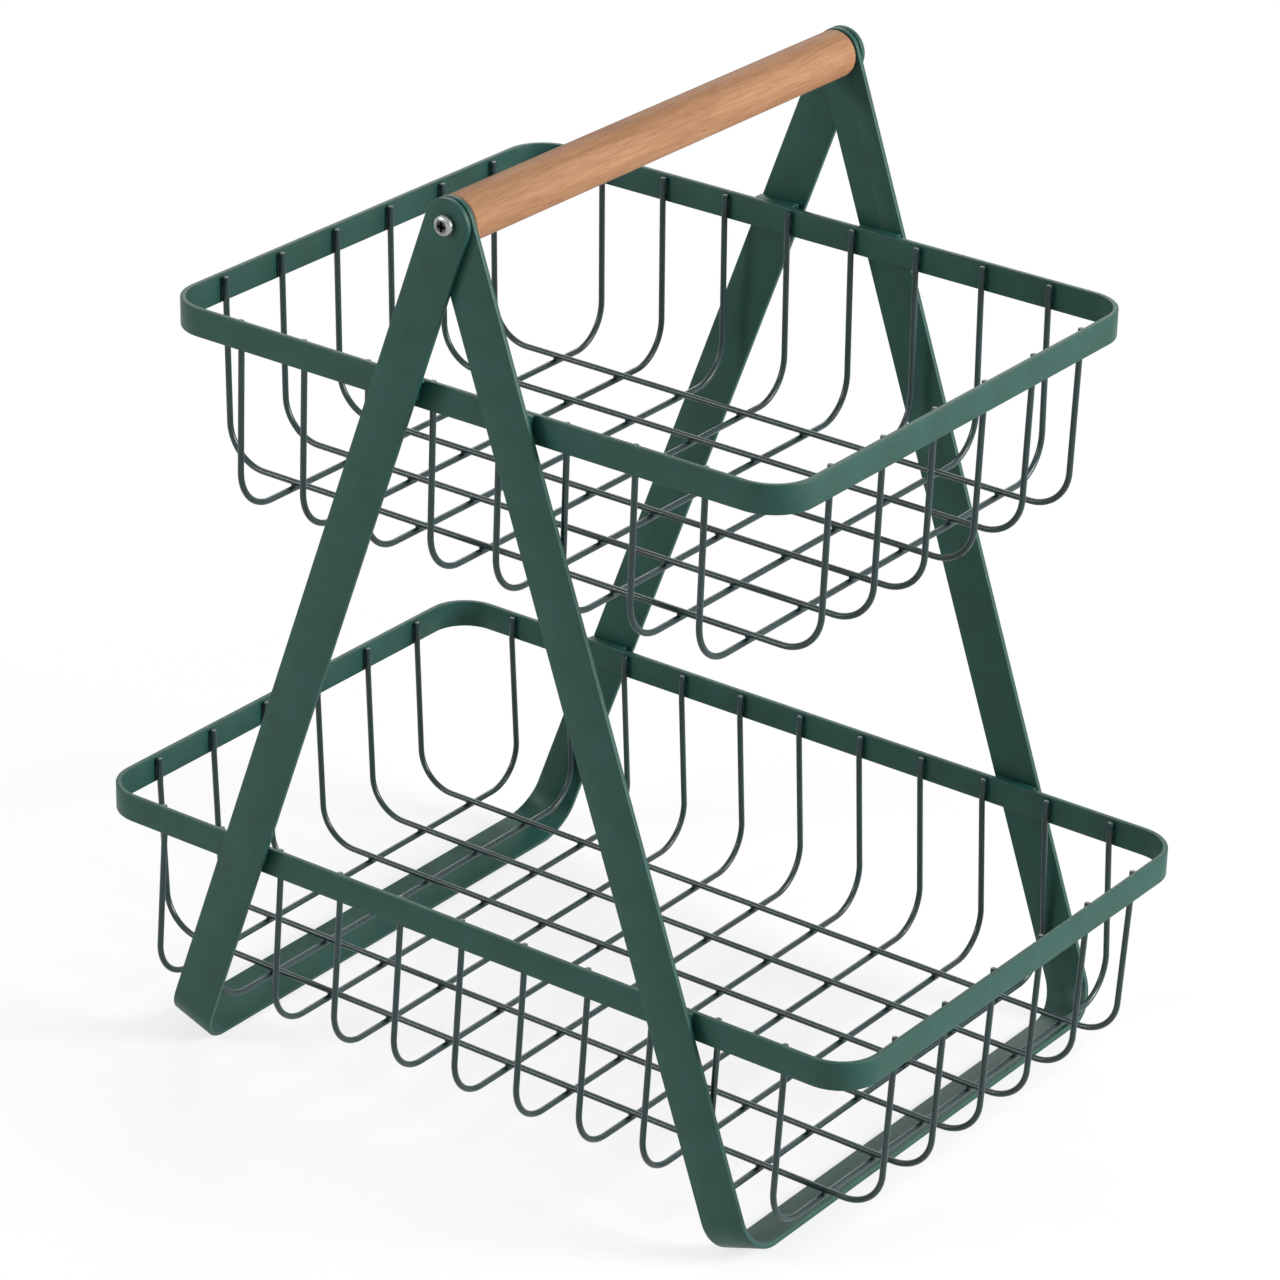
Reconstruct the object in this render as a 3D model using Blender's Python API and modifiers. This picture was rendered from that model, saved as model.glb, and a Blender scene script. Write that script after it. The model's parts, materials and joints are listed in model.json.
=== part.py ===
"""Two-tier onion rack: two hinged flat-bar bails carry two lift-off wire baskets below a wooden grip."""

import math

import bmesh
import bpy
from mathutils import Matrix, Vector

# Room left between two pieces that touch or are welded in the real rack
FIT_GAP = 0.0003
# Points nearer than this are one point
WELD_DISTANCE = 0.000001

# Flat bar that both bails are bent from
BAR_WIDTH = 0.0174
BAR_THICKNESS = 0.002
BAR_EDGE_ROUNDING = 0.0004
LEG_TILT = math.radians(19.6)
# From the pivot to the underside of the bar across the foot
LEG_LENGTH = 0.3597
FOOT_BEND_RADIUS = 0.014
# How much of the lowest long edge is worn flat where the rack stands
FOOT_FLAT_DEPTH = 0.0005
# Room between the two bails at the pivot, the left bail being the outer of the two
NEST_GAP = 0.0005
# How much less each bail spans over its outer faces at the foot than at the pivot
LEFT_NARROWING = 0.008
RIGHT_NARROWING = 0.002
# The round leg ends leave the straight sides at this small angle
END_FLARE = math.radians(3)

# Flat strip rims of the baskets
RIM_HEIGHT = 0.01023
RIM_THICKNESS = 0.002
RIM_EDGE_ROUNDING = 0.0004
RIM_CORNER_RADIUS = 0.016
BASKET_WIDTH = 0.2064
UPPER_LENGTH = 0.2559
LOWER_LENGTH = 0.325
# Room under the lower basket, down to the bars across the feet
FOOT_CLEARANCE = 0.00868
# From the hinge axis down to the top of the upper rim
HAND_ROOM = 0.059475

# Round wires of the baskets
WIRE_DIAMETER = 0.0022
WIRE_BEND_RADIUS = 0.015
# From the top of the rim down to the ends of the wires
WIRE_END_DROP = 0.0008
BASKET_DEPTH = 0.0709
# How much further out than its ends a wire is where it turns into the floor
UPPER_CROSS_FLARE = 0.0011
LOWER_CROSS_FLARE = 0.0036
UPPER_LONG_FLARE = -0.001
LOWER_LONG_FLARE = -0.0022
UPPER_CROSS_COUNT = 8
LOWER_CROSS_COUNT = 11
LONG_COUNT = 6
# From the end of a basket, or its side, to the first wire
UPPER_END_MARGIN = 0.03265
LOWER_END_MARGIN = 0.0287
SIDE_MARGIN = 0.02963

# Sheet hooks on the rims and sheet keepers on the legs
HOOK_SHEET = 0.0007
HOOK_PLAY = 0.0003
HOOK_WIDTH = 0.016
HOOK_BEND_RADIUS = 0.0009
HOOK_DROP = 0.0047
KEEPER_FLOOR_GAP = 0.0004
# Room between the lip of a lower keeper on the inner bail and the rim
LIP_CLEARANCE = 0.00044

# Turned wooden grip
GRIP_DIAMETER = 0.01688
GRIP_END_ROUNDING = 0.001

# Pan-head cross-recess screws that are also the hinge pins
SCREW_SHANK_DIAMETER = 0.004
SCREW_IN_GRIP = 0.0209
SCREW_TIP_GAP = 0.0031
SCREW_POINT_LENGTH = 0.004
SCREW_HEAD_DIAMETER = 0.0072
SCREW_HEAD_HEIGHT = 0.0023
SCREW_HEAD_EDGE = 0.0008
RECESS_SPAN = 0.0046
RECESS_WIDTH = 0.0012
RECESS_DEPTH = 0.0014
RECESS_TAPER_SHARE = 0.45

# How finely the round shapes are divided
CORNER_SEGMENTS = 8
WIRE_BEND_SEGMENTS = 6
SHEET_BEND_SEGMENTS = 4
LEG_END_SEGMENTS = 16
ROUND_SEGMENTS = 32
SCREW_SEGMENTS = 24
DOME_SEGMENTS = 5
WIRE_BEVEL_RESOLUTION = 2
EDGE_SEGMENTS = 2
EDGE_ANGLE = math.radians(50)
# How far a cutter reaches past the piece that it cuts
CUTTER_REACH = 0.01
# Side of the cube that each box is scaled from
CUBE_SIDE = 1

# Sizes that follow from the ones above
BAR_HALF = BAR_WIDTH / 2
PIVOT_HEIGHT = LEG_LENGTH * math.cos(LEG_TILT) + BAR_HALF * math.sin(LEG_TILT) - FOOT_FLAT_DEPTH
FOOT_BAR_TOP = BAR_WIDTH * math.sin(LEG_TILT) + BAR_THICKNESS * math.cos(LEG_TILT) - FOOT_FLAT_DEPTH
WIRE_RADIUS = WIRE_DIAMETER / 2
WIRE_INSET = RIM_THICKNESS + FIT_GAP + WIRE_RADIUS
LOWER_RIM_TOP = FOOT_BAR_TOP + FOOT_CLEARANCE + WIRE_RADIUS + BASKET_DEPTH
UPPER_RIM_TOP = PIVOT_HEIGHT - HAND_ROOM
UPPER_CROSS_SPACING = (UPPER_LENGTH - 2 * UPPER_END_MARGIN) / (UPPER_CROSS_COUNT - 1)
LOWER_CROSS_SPACING = (LOWER_LENGTH - 2 * LOWER_END_MARGIN) / (LOWER_CROSS_COUNT - 1)
LONG_SPACING = (BASKET_WIDTH - 2 * SIDE_MARGIN) / (LONG_COUNT - 1)
# Depth of a keeper from the leg face: play, hook, play, lip
KEEPER_REACH = 2 * (HOOK_PLAY + HOOK_SHEET)
KEEPER_TOP_DROP = HOOK_SHEET + FIT_GAP
KEEPER_BOTTOM_DROP = HOOK_DROP + KEEPER_FLOOR_GAP + HOOK_SHEET
KEEPER_MIDDLE_DROP = (KEEPER_TOP_DROP + KEEPER_BOTTOM_DROP) / 2
# The bails span the rim, the keepers and their own thickness where the lower basket hangs
LOWER_HANGER_BELOW_PIVOT = (PIVOT_HEIGHT - LOWER_RIM_TOP + KEEPER_MIDDLE_DROP) / math.cos(LEG_TILT)
HANGER_STACK = LIP_CLEARANCE + KEEPER_REACH + BAR_THICKNESS
RIGHT_BAIL_SPAN = BASKET_WIDTH + 2 * HANGER_STACK + RIGHT_NARROWING * LOWER_HANGER_BELOW_PIVOT / LEG_LENGTH
LEFT_BAIL_SPAN = RIGHT_BAIL_SPAN + 2 * (BAR_THICKNESS + NEST_GAP)
GRIP_LENGTH = RIGHT_BAIL_SPAN - 2 * (BAR_THICKNESS + FIT_GAP)
SCREW_LENGTH = SCREW_IN_GRIP + 2 * (BAR_THICKNESS + FIT_GAP) + NEST_GAP
GRIP_BORE_DEPTH = SCREW_IN_GRIP + SCREW_TIP_GAP
BORE_DIAMETER = SCREW_SHANK_DIAMETER + 2 * FIT_GAP

# Axes of a flat outline turned to stand across the rack or along it
OUTLINE_TO_SIDE = Matrix(((0, 0, 1), (1, 0, 0), (0, 1, 0))).to_4x4()
OUTLINE_TO_FRONT = Matrix(((1, 0, 0), (0, 0, -1), (0, 1, 0))).to_4x4()

SIDES = (("near", -1), ("rear", 1))


def clear_scene():
    for old in list(bpy.data.objects):
        bpy.data.objects.remove(old, do_unlink=True)


def new_collection(name):
    made = bpy.data.collections.new(name)
    bpy.context.scene.collection.children.link(made)
    return made


clear_scene()
PARTS = new_collection("onion_rack")
CUTTERS = new_collection("cutters")


def make_material(name, colour, metallic, roughness):
    made = bpy.data.materials.new(name)
    made.use_nodes = True
    shader = made.node_tree.nodes["Principled BSDF"]
    shader.inputs["Base Color"].default_value = (*colour, 1)
    shader.inputs["Metallic"].default_value = metallic
    shader.inputs["Roughness"].default_value = roughness
    made.diffuse_color = (*colour, 1)
    return made


def frame_coat():
    """Dark green powder coat on the flat bars and strips."""
    return make_material("frame_coat", (0.045, 0.098, 0.085), 0, 0.5)


def wire_coat():
    """The same coat on the thin wires, where it looks greyer."""
    return make_material("wire_coat", (0.042, 0.056, 0.060), 0, 0.45)


def grip_wood():
    """Light clear-coated hardwood."""
    return make_material("grip_wood", (0.571, 0.305, 0.141), 0, 0.5)


def screw_zinc():
    """Bright zinc plate."""
    return make_material("screw_zinc", (0.62, 0.62, 0.60), 1, 0.3)


FRAME_COAT = frame_coat()
WIRE_COAT = wire_coat()
GRIP_WOOD = grip_wood()
SCREW_ZINC = screw_zinc()


def add_object(name, data, material=None):
    """A piece of the rack, or a cutter where it has no material."""
    made = bpy.data.objects.new(name, data)
    if material is None:
        CUTTERS.objects.link(made)
        made.hide_render = True
        made.display_type = "WIRE"
        return made
    PARTS.objects.link(made)
    if not data.materials:
        data.materials.append(material)
    return made


def add_empty(name, place):
    made = bpy.data.objects.new(name, None)
    made.location = place
    PARTS.objects.link(made)
    return made


def attach(child, parent):
    """Makes the child follow the parent and leaves it where it is."""
    bpy.context.view_layer.update()
    child.parent = parent
    child.matrix_parent_inverse = parent.matrix_world.inverted()


def arc(centre, radius, start, end, segments):
    """Points of an arc in a flat outline, both ends included."""
    points = []
    for step in range(segments + 1):
        angle = start + (end - start) * step / segments
        turned = Vector((math.cos(angle), math.sin(angle))) * radius
        points.append(Vector(centre) + turned)
    return points


def new_curve(name, points, cyclic):
    curve = bpy.data.curves.new(name, "CURVE")
    spline = curve.splines.new("POLY")
    spline.points.add(len(points) - 1)
    for slot, point in zip(spline.points, points):
        slot.co = (*Vector(point).to_3d(), 1)
    spline.use_cyclic_u = cyclic
    return curve


def curve_to_mesh(curve, name, turn):
    """The curve as a welded mesh, turned to the way it stands in its piece."""
    holder = bpy.data.objects.new(name, curve)
    bpy.context.scene.collection.objects.link(holder)
    bpy.context.view_layer.update()
    mesh = bpy.data.meshes.new_from_object(holder)
    bpy.data.objects.remove(holder, do_unlink=True)
    bpy.data.curves.remove(curve)
    mesh.name = name
    mesh.transform(turn)
    work = bmesh.new()
    work.from_mesh(mesh)
    bmesh.ops.remove_doubles(work, verts=work.verts, dist=WELD_DISTANCE)
    work.to_mesh(mesh)
    work.free()
    return mesh


def ribbon_mesh(name, path, width, turn, cyclic=False):
    """An open strip of the given width along a path."""
    curve = new_curve(name, path, cyclic)
    curve.dimensions = "2D"
    curve.fill_mode = "NONE"
    curve.extrude = width / 2
    mesh = curve_to_mesh(curve, name, turn)
    mesh.shade_smooth()
    return mesh


def prism_mesh(name, outline, depth, turn):
    """A solid with the given outline, as deep as asked, centred on the plane of the outline."""
    curve = new_curve(name, outline, True)
    curve.dimensions = "2D"
    curve.fill_mode = "BOTH"
    curve.extrude = depth / 2
    return curve_to_mesh(curve, name, turn)


def cylinder_mesh(name, diameter, length, segments, turn):
    mesh = bpy.data.meshes.new(name)
    work = bmesh.new()
    bmesh.ops.create_cone(
        work,
        cap_ends=True,
        segments=segments,
        radius1=diameter / 2,
        radius2=diameter / 2,
        depth=length,
        matrix=turn,
    )
    work.to_mesh(mesh)
    work.free()
    return mesh


def box_mesh(name, size):
    mesh = bpy.data.meshes.new(name)
    work = bmesh.new()
    bmesh.ops.create_cube(work, size=CUBE_SIDE, matrix=Matrix.Diagonal((*size, CUBE_SIDE)))
    work.to_mesh(mesh)
    work.free()
    return mesh


def add_thickness(target, thickness, side=1):
    """Wall on the inner side of a strip whose outer face is drawn: side is -1 where the strip is a ring."""
    made = target.modifiers.new("wall", "SOLIDIFY")
    made.thickness = thickness
    made.offset = side
    made.use_even_offset = True


def add_rounding(target, width):
    made = target.modifiers.new("rounded edges", "BEVEL")
    made.width = width
    made.segments = EDGE_SEGMENTS
    made.limit_method = "ANGLE"
    made.angle_limit = EDGE_ANGLE
    made.harden_normals = True


def add_boolean(target, cutter, operation):
    made = target.modifiers.new(cutter.name, "BOOLEAN")
    made.operation = operation
    made.solver = "EXACT"
    made.object = cutter


def half_span_at(span, narrowing, below):
    """Distance from the middle to the outer face of a leg, this far below the pivot."""
    return (span - narrowing * below / LEG_LENGTH) / 2


def foot_path(span, narrowing):
    """Outer face of the bar across a foot seen from the side, bent up at both ends."""
    corner = (span - narrowing) / 2 - FOOT_BEND_RADIUS
    low = FOOT_BEND_RADIUS - LEG_LENGTH
    left = arc((-corner, low), FOOT_BEND_RADIUS, math.pi, 1.5 * math.pi, CORNER_SEGMENTS)
    right = arc((corner, low), FOOT_BEND_RADIUS, 1.5 * math.pi, 2 * math.pi, CORNER_SEGMENTS)
    return [*left, *right]


def leg_path(span, narrowing, end):
    """Outer face of a leg seen from the side, drawn so that its inner side is on the left of the path."""
    reach = BAR_HALF + CUTTER_REACH
    top = Vector((half_span_at(span, narrowing, -reach), reach))
    bottom = Vector(((span - narrowing) / 2, FOOT_BEND_RADIUS - LEG_LENGTH))
    bottom += (top - bottom).normalized() * FIT_GAP
    if end > 0:
        return [bottom, top]
    return [Vector((-top.x, top.y)), Vector((-bottom.x, bottom.y))]


def leg_end_outline():
    """Round top that widens slightly downward, so it meets the straight sides of the leg cleanly."""
    top = arc((0, 0), BAR_HALF, END_FLARE, math.pi - END_FLARE, LEG_END_SEGMENTS)
    bottom = -LEG_LENGTH - CUTTER_REACH
    drop = top[0].y - bottom
    half = top[0].x + drop * math.tan(END_FLARE)
    return [*top, Vector((-half, bottom)), Vector((half, bottom))]


def add_bar(name, path, side, home):
    """A length of the flat bar along a path, tilted about the hinge axis."""
    bar = add_object(name, ribbon_mesh(name, path, BAR_WIDTH, OUTLINE_TO_SIDE), FRAME_COAT)
    bar.location = home.location
    bar.rotation_euler = (0, -side * LEG_TILT, 0)
    add_thickness(bar, BAR_THICKNESS)
    add_rounding(bar, BAR_EDGE_ROUNDING)
    attach(bar, home)
    return bar


def add_cutter(name, shape, bar):
    """A cutter that stands the way the bar does."""
    cutter = add_object(name, shape)
    cutter.location = bar.location
    cutter.rotation_euler = bar.rotation_euler
    return cutter


def add_bail(name, side, span, narrowing):
    """One bail about the hinge axis: the bar across its foot and the two legs that go on from its bends."""
    home = add_empty(name + "_bail", (0, 0, PIVOT_HEIGHT))
    reach = span + 2 * CUTTER_REACH
    foot = add_bar(name + "_foot", foot_path(span, narrowing), side, home)
    floor = add_object(name + "_floor", box_mesh("floor", (2 * LEG_LENGTH, reach, 2 * CUTTER_REACH)))
    floor.location = (0, 0, -CUTTER_REACH)
    add_boolean(foot, floor, "DIFFERENCE")

    end_shape = prism_mesh("leg_ends", leg_end_outline(), reach, OUTLINE_TO_FRONT)
    turn = Matrix.Rotation(math.pi / 2, 4, "X")
    hole_shape = cylinder_mesh("pivot_holes", BORE_DIAMETER, reach, SCREW_SEGMENTS, turn)
    for end_name, end in SIDES:
        leg = add_bar(f"{name}_leg_{end_name}", leg_path(span, narrowing, end), side, home)
        add_boolean(leg, add_cutter(leg.name + "_ends", end_shape, leg), "INTERSECT")
        add_boolean(leg, add_cutter(leg.name + "_hole", hole_shape, leg), "DIFFERENCE")
    return home


def rim_path(length):
    """Outer face of a rim seen from above."""
    x = length / 2 - RIM_CORNER_RADIUS
    y = BASKET_WIDTH / 2 - RIM_CORNER_RADIUS
    quarter = math.pi / 2
    path = []
    for turn, centre in enumerate(((x, y), (-x, y), (-x, -y), (x, -y))):
        start = turn * quarter
        path += arc(centre, RIM_CORNER_RADIUS, start, start + quarter, CORNER_SEGMENTS)
    return path


def add_rim(name, length, top):
    rim = add_object(name, ribbon_mesh(name, rim_path(length), RIM_HEIGHT, Matrix(), True), FRAME_COAT)
    rim.location = (0, 0, top - RIM_HEIGHT / 2)
    add_thickness(rim, RIM_THICKNESS, -1)
    add_rounding(rim, RIM_EDGE_ROUNDING)
    return rim


def wire_curve(name, reach, flare, floor):
    """A U-shaped wire: reach is half the distance between its ends, floor the depth of its level part.

    It runs straight down the rim from just below the top and only then flares."""
    corner = reach + flare - WIRE_BEND_RADIUS
    low = WIRE_BEND_RADIUS - floor
    left = arc((-corner, low), WIRE_BEND_RADIUS, math.pi, 1.5 * math.pi, WIRE_BEND_SEGMENTS)
    right = arc((corner, low), WIRE_BEND_RADIUS, 1.5 * math.pi, 2 * math.pi, WIRE_BEND_SEGMENTS)
    near_end = [Vector((-reach, -WIRE_END_DROP)), Vector((-reach, -RIM_HEIGHT))]
    far_end = [Vector((reach, -RIM_HEIGHT)), Vector((reach, -WIRE_END_DROP))]
    flat = [*near_end, *left, *right, *far_end]
    curve = new_curve(name, [Vector((point.x, 0, point.y)) for point in flat], False)
    curve.dimensions = "3D"
    curve.bevel_depth = WIRE_RADIUS
    curve.bevel_resolution = WIRE_BEVEL_RESOLUTION
    curve.use_fill_caps = True
    return curve


def spread(count, spacing):
    """Positions of evenly spaced wires about the middle."""
    return [(index - (count - 1) / 2) * spacing for index in range(count)]


def add_basket(tier, length, top, cross_places, flares):
    """Rim and wires of one basket. The cross wires run over the width, the long wires lie on them."""
    home = add_empty(tier + "_basket", (0, 0, top))
    attach(add_rim(tier + "_rim", length, top), home)

    cross_flare, long_flare = flares
    cross_reach = BASKET_WIDTH / 2 - WIRE_INSET
    cross_curve = wire_curve(tier + "_cross_wire", cross_reach, cross_flare, BASKET_DEPTH)
    for number, x in enumerate(cross_places, 1):
        wire = add_object(f"{tier}_cross_wire_{number}", cross_curve, WIRE_COAT)
        wire.location = (x, 0, top)
        wire.rotation_euler = (0, 0, math.pi / 2)
        attach(wire, home)

    long_floor = BASKET_DEPTH - WIRE_DIAMETER - FIT_GAP
    long_curve = wire_curve(tier + "_long_wire", length / 2 - WIRE_INSET, long_flare, long_floor)
    for number, y in enumerate(spread(LONG_COUNT, LONG_SPACING), 1):
        wire = add_object(f"{tier}_long_wire_{number}", long_curve, WIRE_COAT)
        wire.location = (0, y, top)
        attach(wire, home)
    return home


def sheet_bend(end, turn_point, far):
    """Outer face of an L-bent sheet from its free end round the bend to the far end."""
    out = (end - turn_point).normalized() * HOOK_BEND_RADIUS
    down = (far - turn_point).normalized() * HOOK_BEND_RADIUS
    centre = turn_point + out + down
    bend = []
    for step in range(SHEET_BEND_SEGMENTS + 1):
        angle = step / SHEET_BEND_SEGMENTS * math.pi / 2
        bend.append(centre - down * math.cos(angle) - out * math.sin(angle))
    return [end, *bend, far]


def hook_mesh(name, bridge):
    """A tab that reaches out from the rim and turns down into its keeper."""
    path = sheet_bend(Vector((0, 0)), Vector((-bridge, 0)), Vector((-bridge, -HOOK_DROP)))
    return ribbon_mesh(name, path, HOOK_WIDTH, OUTLINE_TO_SIDE)


def keeper_mesh(name):
    """A tab that reaches in from the leg and turns up into a lip."""
    reach = KEEPER_REACH - FIT_GAP
    height = KEEPER_BOTTOM_DROP - KEEPER_TOP_DROP
    path = sheet_bend(Vector((0, 0)), Vector((reach, 0)), Vector((reach, height)))
    return ribbon_mesh(name, path, HOOK_WIDTH, OUTLINE_TO_SIDE)


def add_hangers(tier, home, top, bails):
    """Four hooks on the rim of a basket and the four keepers on the legs that they drop into."""
    middle = top - KEEPER_MIDDLE_DROP
    offset = (PIVOT_HEIGHT - middle) * math.tan(LEG_TILT)
    for bail_name, side, bail, span, narrowing in bails:
        below = (PIVOT_HEIGHT - middle) / math.cos(LEG_TILT)
        leg_face = half_span_at(span, narrowing, below) - BAR_THICKNESS
        rim_face = BASKET_WIDTH / 2 + FIT_GAP
        hook_shape = hook_mesh(f"{tier}_{bail_name}_hook", leg_face - HOOK_PLAY - rim_face)
        keeper_shape = keeper_mesh(f"{tier}_{bail_name}_keeper")
        for end_name, end in SIDES:
            turn = 0 if end < 0 else math.pi
            hook = add_object(f"{tier}_hook_{bail_name}_{end_name}", hook_shape, FRAME_COAT)
            hook.location = (side * offset, end * rim_face, top)
            hook.rotation_euler = (0, 0, turn)
            add_thickness(hook, HOOK_SHEET)
            attach(hook, home)

            keeper = add_object(f"{tier}_keeper_{bail_name}_{end_name}", keeper_shape, FRAME_COAT)
            keeper.location = (side * offset, end * (leg_face - FIT_GAP), top - KEEPER_BOTTOM_DROP)
            keeper.rotation_euler = (0, 0, turn)
            add_thickness(keeper, HOOK_SHEET)
            attach(keeper, bail)


def add_grip():
    """Wooden grip held between the leg ends of the right bail, with a bore for a screw in each end."""
    turn = Matrix.Rotation(math.pi / 2, 4, "X")
    dowel = cylinder_mesh("grip", GRIP_DIAMETER, GRIP_LENGTH, ROUND_SEGMENTS, turn)
    grip = add_object("grip", dowel, GRIP_WOOD)
    grip.location = (0, 0, PIVOT_HEIGHT)
    grip.data.shade_smooth()
    add_rounding(grip, GRIP_END_ROUNDING)
    depth = GRIP_BORE_DEPTH + CUTTER_REACH
    shape = cylinder_mesh("grip_bore", BORE_DIAMETER, depth, SCREW_SEGMENTS, turn)
    for end_name, end in SIDES:
        bore = add_object(f"grip_bore_{end_name}", shape)
        bore.location = (0, end * (GRIP_LENGTH / 2 + CUTTER_REACH - depth / 2), PIVOT_HEIGHT)
        add_boolean(grip, bore, "DIFFERENCE")
    return grip


def screw_profile():
    """Half section of a screw, from the middle of the domed head down to the point."""
    head = SCREW_HEAD_DIAMETER / 2
    shank = SCREW_SHANK_DIAMETER / 2
    dome = SCREW_HEAD_HEIGHT - SCREW_HEAD_EDGE
    points = [Vector((0, SCREW_HEAD_HEIGHT))]
    for step in range(1, DOME_SEGMENTS + 1):
        angle = step / DOME_SEGMENTS * math.pi / 2
        points.append(Vector((head * math.sin(angle), SCREW_HEAD_EDGE + dome * math.cos(angle))))
    points.append(Vector((head, 0)))
    points.append(Vector((shank, 0)))
    points.append(Vector((shank, SCREW_POINT_LENGTH - SCREW_LENGTH)))
    points.append(Vector((0, -SCREW_LENGTH)))
    return points


def turned_mesh(name, profile):
    """Edges of a half section, ready to be turned about the upright axis."""
    mesh = bpy.data.meshes.new(name)
    work = bmesh.new()
    corners = [work.verts.new((point.x, 0, point.y)) for point in profile]
    for upper, lower in zip(corners, corners[1:]):
        work.edges.new((upper, lower))
    work.to_mesh(mesh)
    work.free()
    return mesh


def add_turning(target):
    made = target.modifiers.new("turned", "SCREW")
    made.axis = "Z"
    made.angle = 2 * math.pi
    made.steps = SCREW_SEGMENTS
    made.render_steps = SCREW_SEGMENTS
    made.use_merge_vertices = True
    made.merge_threshold = WELD_DISTANCE


def recess_mesh(name):
    """One blade of the cross recess, narrower toward its bottom."""
    mesh = box_mesh(name, (RECESS_SPAN, RECESS_WIDTH, 2 * RECESS_DEPTH))
    for corner in mesh.vertices:
        if corner.co.z < 0:
            corner.co.x *= RECESS_TAPER_SHARE
    return mesh


def add_screw(end_name, end, profile_mesh, blade_mesh):
    screw = add_object(f"screw_{end_name}", profile_mesh, SCREW_ZINC)
    screw.location = (0, end * (LEFT_BAIL_SPAN / 2 + FIT_GAP), PIVOT_HEIGHT)
    screw.rotation_euler = (-end * math.pi / 2, 0, 0)
    add_turning(screw)
    outward = Vector((0, end, 0))
    for blade_name, angle in (("a", 0), ("b", math.pi / 2)):
        blade = add_object(f"recess_{end_name}_{blade_name}", blade_mesh)
        blade.location = screw.location + outward * SCREW_HEAD_HEIGHT
        blade.rotation_euler = (screw.rotation_euler.to_matrix() @ Matrix.Rotation(angle, 3, "Z")).to_euler()
        add_boolean(screw, blade, "DIFFERENCE")
    return screw


def build():
    left_bail = add_bail("left", -1, LEFT_BAIL_SPAN, LEFT_NARROWING)
    right_bail = add_bail("right", 1, RIGHT_BAIL_SPAN, RIGHT_NARROWING)
    bails = (
        ("left", -1, left_bail, LEFT_BAIL_SPAN, LEFT_NARROWING),
        ("right", 1, right_bail, RIGHT_BAIL_SPAN, RIGHT_NARROWING),
    )

    upper_flares = (UPPER_CROSS_FLARE, UPPER_LONG_FLARE)
    lower_flares = (LOWER_CROSS_FLARE, LOWER_LONG_FLARE)
    upper_places = spread(UPPER_CROSS_COUNT, UPPER_CROSS_SPACING)
    lower_places = spread(LOWER_CROSS_COUNT, LOWER_CROSS_SPACING)
    upper = add_basket("upper", UPPER_LENGTH, UPPER_RIM_TOP, upper_places, upper_flares)
    lower = add_basket("lower", LOWER_LENGTH, LOWER_RIM_TOP, lower_places, lower_flares)
    add_hangers("upper", upper, UPPER_RIM_TOP, bails)
    add_hangers("lower", lower, LOWER_RIM_TOP, bails)

    attach(add_grip(), left_bail)
    profile_mesh = turned_mesh("screw", screw_profile())
    profile_mesh.shade_smooth()
    blade_mesh = recess_mesh("recess")
    for end_name, end in SIDES:
        attach(add_screw(end_name, end, profile_mesh, blade_mesh), left_bail)
    attach(upper, left_bail)
    attach(lower, left_bail)
    attach(right_bail, left_bail)


build()
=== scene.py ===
"""Looks of the two-tier onion rack: coated bars and wires, weld beads, a beech grip, zinc-plated screws."""

import json
import math

import bmesh
import bpy
from mathutils import Matrix, Vector


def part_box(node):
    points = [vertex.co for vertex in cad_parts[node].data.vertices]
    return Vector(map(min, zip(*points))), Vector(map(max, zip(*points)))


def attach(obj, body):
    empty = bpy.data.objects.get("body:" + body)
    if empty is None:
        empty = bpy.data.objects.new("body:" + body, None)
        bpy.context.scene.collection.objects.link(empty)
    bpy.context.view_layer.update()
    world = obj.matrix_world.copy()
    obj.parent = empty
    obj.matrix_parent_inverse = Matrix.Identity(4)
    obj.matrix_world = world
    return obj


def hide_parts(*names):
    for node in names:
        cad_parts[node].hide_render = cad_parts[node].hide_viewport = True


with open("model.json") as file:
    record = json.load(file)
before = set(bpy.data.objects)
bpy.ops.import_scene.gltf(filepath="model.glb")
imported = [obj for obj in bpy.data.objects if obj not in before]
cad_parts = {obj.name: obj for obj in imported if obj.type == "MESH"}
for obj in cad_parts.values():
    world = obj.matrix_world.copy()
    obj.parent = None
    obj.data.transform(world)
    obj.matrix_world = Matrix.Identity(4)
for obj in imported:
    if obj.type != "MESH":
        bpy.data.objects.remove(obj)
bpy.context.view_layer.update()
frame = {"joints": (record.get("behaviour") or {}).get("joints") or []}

MM = 0.001

# Flat bar of the bails
BAR_WIDTH = 17.4 * MM
BAR_THICKNESS = 2.0 * MM
BAR_EDGE = 0.4 * MM
LEG_TILT = math.radians(19.6)
LEG_LENGTH = 359.7 * MM
FOOT_BEND = 14.0 * MM
PIVOT = Vector(frame["joints"][0]["pos_m"])

# Flat strip of the rims
RIM_THICKNESS = 2.0 * MM
RIM_EDGE = 0.4 * MM
RIM_CORNER = 16.0 * MM

# Drawn wire of the baskets
WIRE_RADIUS = 1.1 * MM
WIRE_BEND = 15.0 * MM
WIRE_END_DROP = 0.8 * MM
WIRE_END_EDGE = 0.35 * WIRE_RADIUS

# Weld beads at the wire ends and nuggets at the crossings: half sizes, and shares of the rim's height
BEAD_WIDTH = 0.75 * WIRE_RADIUS
BEAD_DEPTH = 0.5 * MM
BEAD_HEIGHT_SHARE = 0.36
BEAD_LEVEL_SHARE = 0.48
NUGGET_WIDTH = 0.85 * WIRE_RADIUS
NUGGET_HEIGHT = 0.5 * MM

# Sheet hooks and keepers
SHEET = 0.7 * MM
SHEET_BEND = 0.9 * MM
SHEET_EDGE = 0.15 * MM

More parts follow.
